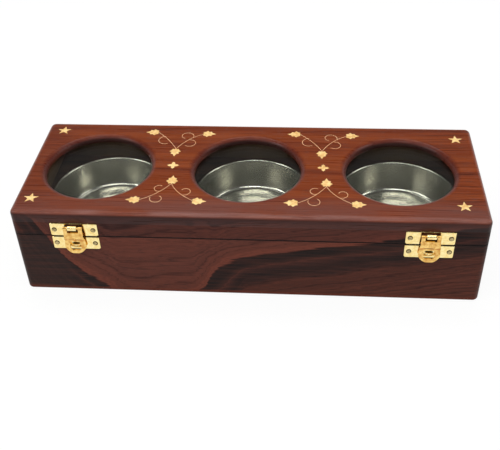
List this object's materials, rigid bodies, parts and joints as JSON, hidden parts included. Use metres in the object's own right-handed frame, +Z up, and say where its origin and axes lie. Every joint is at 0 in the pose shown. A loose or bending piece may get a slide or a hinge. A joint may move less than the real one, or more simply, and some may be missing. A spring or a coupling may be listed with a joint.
{
  "type": "dried fruit box",
  "caption": "Long hinged wooden box for dried fruit, with round glass windows in the lid, steel bowls in a tray, brass inlay and brass hasp latches.",
  "frame": {"origin": "middle of the underside, on which the box stands", "axes": "+X along the box to the right as seen from the latches, +Y to the hinges at the back, +Z up"},
  "size_m": [0.3048, 0.1162, 0.0665],
  "materials": {
    "rosewood": "oiled dark rosewood, satin",
    "top_wood": "oiled reddish rosewood, satin",
    "inner_wood": "bare planed wood",
    "window_glass": "clear",
    "inlay_brass": "sanded flush",
    "latch_brass": "polished",
    "screw_brass": "dull",
    "hinge_brass": "satin",
    "bowl_steel": "spun, polished"
  },
  "bodies": {
    "base": {"front_board": "rosewood", "back_board": "rosewood", "left_end_board": "rosewood", "right_end_board": "rosewood", "bottom_board": "inner_wood", "front_tray_cleat": "inner_wood", "back_tray_cleat": "inner_wood", "bowl_tray": "inner_wood", "left_catch_plate": "latch_brass", "right_catch_plate": "latch_brass", "catch_plate_screws": "screw_brass", "left_hinge_base_leaf": "hinge_brass", "right_hinge_base_leaf": "hinge_brass", "base_hinge_screws": "screw_brass", "left_hinge_pin": "hinge_brass", "right_hinge_pin": "hinge_brass"},
    "lid": {"lid_top_board": "top_wood", "lid_front_rail": "rosewood", "lid_back_rail": "rosewood", "lid_left_rail": "rosewood", "lid_right_rail": "rosewood", "left_window_glass": "window_glass", "middle_window_glass": "window_glass", "right_window_glass": "window_glass", "star_inlays": "inlay_brass", "left_vine_inlay": "inlay_brass", "right_vine_inlay": "inlay_brass", "left_hasp_plate": "latch_brass", "right_hasp_plate": "latch_brass", "hasp_plate_screws": "screw_brass", "left_hinge_lid_leaf": "hinge_brass", "right_hinge_lid_leaf": "hinge_brass", "lid_hinge_screws": "screw_brass"},
    "left_hasp": {"left_hasp": "latch_brass"},
    "right_hasp": {"right_hasp": "latch_brass"},
    "left_bowl": {"left_bowl": "bowl_steel"},
    "middle_bowl": {"middle_bowl": "bowl_steel"},
    "right_bowl": {"right_bowl": "bowl_steel"}
  },
  "joints": [
    {"name": "lid_hinge", "type": "hinge", "parent": "base", "child": "lid", "pos_m": [0, 0.05585, 0.048], "axis": [-1, 0, 0], "range_deg": [0, 180]},
    {"name": "left_hasp_pivot", "type": "hinge", "parent": "lid", "child": "left_hasp", "pos_m": [-0.1115, -0.057, 0.0564], "axis": [-1, 0, 0], "range_deg": [-3, 165]},
    {"name": "right_hasp_pivot", "type": "hinge", "parent": "lid", "child": "right_hasp", "pos_m": [0.1155, -0.057, 0.0564], "axis": [-1, 0, 0], "range_deg": [-3, 165]},
    {"name": "left_bowl_lift", "type": "slide", "parent": "base", "child": "left_bowl", "axis": [0, 0, 1], "range_m": [0, 0.0135]},
    {"name": "middle_bowl_lift", "type": "slide", "parent": "base", "child": "middle_bowl", "axis": [0, 0, 1], "range_m": [0, 0.0135]},
    {"name": "right_bowl_lift", "type": "slide", "parent": "base", "child": "right_bowl", "axis": [0, 0, 1], "range_m": [0, 0.0135]}
  ]
}
